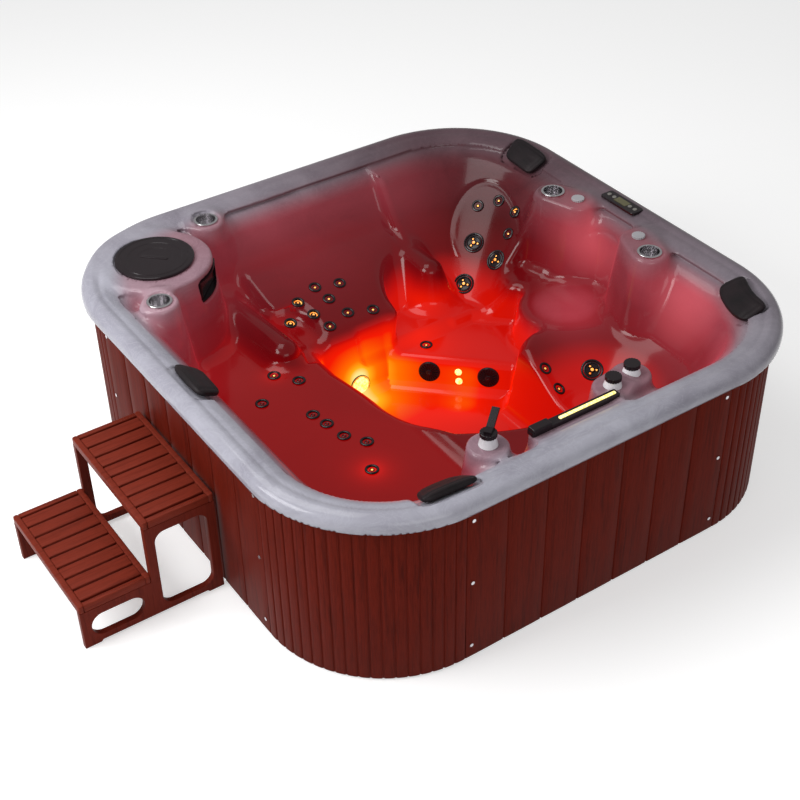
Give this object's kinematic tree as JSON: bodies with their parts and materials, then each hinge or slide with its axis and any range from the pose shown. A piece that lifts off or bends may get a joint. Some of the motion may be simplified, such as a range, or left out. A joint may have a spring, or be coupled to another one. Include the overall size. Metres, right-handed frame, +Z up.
{
  "type": "acrylic hot tub",
  "caption": "Square acrylic hot tub with moulded seats, filter tower, hydro jets, lights, pillows, rim controls, slatted wooden skirt and free-standing wooden steps.",
  "frame": {"origin": "centre of the tub's base on the floor", "axes": "+Z up, -X towards the steps, -Y towards the panel with the waterfall side"},
  "size_m": [2.729, 2.2, 0.8157],
  "materials": {
    "acrylic": "pearl gloss, softly marbled",
    "skirt_wood": "satin stained boards",
    "step_wood": "satin stained slats",
    "step_frame_wood": "satin stained frame",
    "frame_timber": "sawn",
    "black_plastic": "gloss",
    "grey_plastic": "satin",
    "silver_plastic": "pearl gloss",
    "pipe_plastic": "smooth",
    "pan_plastic": "moulded",
    "box_plastic": "moulded",
    "pillow_foam": "soft moulded skin",
    "button_rubber": "satin",
    "stainless": "brushed",
    "motor_paint": "satin",
    "valve_brass": "machined",
    "filter_cloth": "pleated",
    "display_glass": "gloss",
    "lamp_glass": "frosted, lit",
    "spot_glass": "frosted, lit"
  },
  "bodies": {
    "tub": {"acrylic_shell": "acrylic", "air_blower": "pan_plastic", "base_pan": "pan_plastic", "circulation_pump": "motor_paint", "control_box": "box_plastic", "control_display": "display_glass", "control_panel": "black_plastic", "cup_liners": "stainless", "diverter_bases": "silver_plastic", "drain_valve": "valve_brass", "filter_cartridge": "filter_cloth", "frame_lower_rail": "frame_timber", "frame_posts": "frame_timber", "frame_upper_rail": "frame_timber", "heater": "stainless", "jet_bezels": "black_plastic", "jet_bodies": "pipe_plastic", "jet_pump_motor": "motor_paint", "light_strip": "lamp_glass", "main_light_housing": "black_plastic", "main_light_lens": "lamp_glass", "panel_screws": "stainless", "pillow_far": "pillow_foam", "pillow_left": "pillow_foam", "pillow_near": "pillow_foam", "pillow_right": "pillow_foam", "plumbing_pipes": "pipe_plastic", "power_gland": "pan_plastic", "pump_wet_end": "pan_plastic", "skimmer_housing": "black_plastic", "skirt_back": "skirt_wood", "skirt_corner_far": "skirt_wood", "skirt_corner_filter": "skirt_wood", "skirt_corner_near": "skirt_wood", "skirt_corner_right": "skirt_wood", "skirt_front": "skirt_wood", "skirt_left": "skirt_wood", "skirt_right": "skirt_wood", "small_jets": "black_plastic", "spot_lights": "spot_glass", "suction_covers": "black_plastic", "waterfall_spout": "black_plastic"},
    "lid": {"filter_lid": "black_plastic"},
    "weir": {"skimmer_weir": "black_plastic"},
    "warmer_button": {"warmer_button": "button_rubber"},
    "jets_button": {"jets_button": "button_rubber"},
    "light_button": {"light_button": "button_rubber"},
    "cooler_button": {"cooler_button": "button_rubber"},
    "far_air_knob": {"air_knob_far": "grey_plastic"},
    "near_air_knob": {"air_knob_near": "grey_plastic"},
    "lever": {"diverter_lever": "black_plastic"},
    "cap_1": {"diverter_cap_1": "black_plastic"},
    "cap_2": {"diverter_cap_2": "black_plastic"},
    "face_1": {"jet_face_1": "black_plastic"},
    "face_2": {"jet_face_2": "black_plastic"},
    "face_3": {"jet_face_3": "black_plastic"},
    "face_4": {"jet_face_4": "black_plastic"},
    "steps": {"step_sides": "step_frame_wood", "tread_frames": "step_wood", "tread_slats": "step_wood"}
  },
  "joints": [
    {"name": "lid_lift", "type": "slide", "parent": "tub", "child": "lid", "axis": [0, 0, 1], "range_m": [0, 0.25]},
    {"name": "weir_swing", "type": "hinge", "parent": "tub", "child": "weir", "pos_m": [-0.59104, 0.64504, 0.6246], "axis": [-0.7071, -0.7071, 0], "range_deg": [0, 40]},
    {"name": "warmer_press", "type": "slide", "parent": "tub", "child": "warmer_button", "axis": [0, 0, -1], "range_m": [0, 0.0012], "stiffness_N_per_m": 500},
    {"name": "jets_press", "type": "slide", "parent": "tub", "child": "jets_button", "axis": [0, 0, -1], "range_m": [0, 0.0012], "stiffness_N_per_m": 500},
    {"name": "light_press", "type": "slide", "parent": "tub", "child": "light_button", "axis": [0, 0, -1], "range_m": [0, 0.0012], "stiffness_N_per_m": 500},
    {"name": "cooler_press", "type": "slide", "parent": "tub", "child": "cooler_button", "axis": [0, 0, -1], "range_m": [0, 0.0012], "stiffness_N_per_m": 500},
    {"name": "far_air_turn", "type": "hinge", "parent": "tub", "child": "far_air_knob", "pos_m": [0.91, 0.178, 0.74], "axis": [0, 0, 1], "range_deg": [0, 180]},
    {"name": "near_air_turn", "type": "hinge", "parent": "tub", "child": "near_air_knob", "pos_m": [0.915, -0.19, 0.74], "axis": [0, 0, 1], "range_deg": [0, 180]},
    {"name": "lever_turn", "type": "hinge", "parent": "tub", "child": "lever", "pos_m": [-0.35, -0.87, 0.765], "axis": [0, 0, 1], "range_deg": [-60, 60]},
    {"name": "cap_1_turn", "type": "hinge", "parent": "tub", "child": "cap_1", "pos_m": [0.209, -0.85, 0.742], "axis": [0, 0, 1], "range_deg": [-90, 90]},
    {"name": "cap_2_turn", "type": "hinge", "parent": "tub", "child": "cap_2", "pos_m": [0.312, -0.831, 0.742], "axis": [0, 0, 1], "range_deg": [-90, 90]},
    {"name": "face_1_turn", "type": "hinge", "parent": "tub", "child": "face_1", "pos_m": [0.65873, 0.55408, 0.431], "axis": [-0.5875, -0.3302, 0.7387], "range_deg": [0, 120]},
    {"name": "face_2_turn", "type": "hinge", "parent": "tub", "child": "face_2", "pos_m": [0.67329, 0.41449, 0.408], "axis": [-0.7402, -0.0216, 0.672], "range_deg": [0, 120]},
    {"name": "face_3_turn", "type": "hinge", "parent": "tub", "child": "face_3", "pos_m": [0.54512, 0.47158, 0.304], "axis": [-0.5682, -0.3565, 0.7416], "range_deg": [0, 120]},
    {"name": "face_4_turn", "type": "hinge", "parent": "tub", "child": "face_4", "pos_m": [0.5783, -0.34507, 0.313], "axis": [-0.3355, -0.4295, 0.8384], "range_deg": [0, 120]},
    {"name": "steps_away", "type": "slide", "parent": "tub", "child": "steps", "axis": [-1, 0, 0], "range_m": [0, 0.5]}
  ]
}
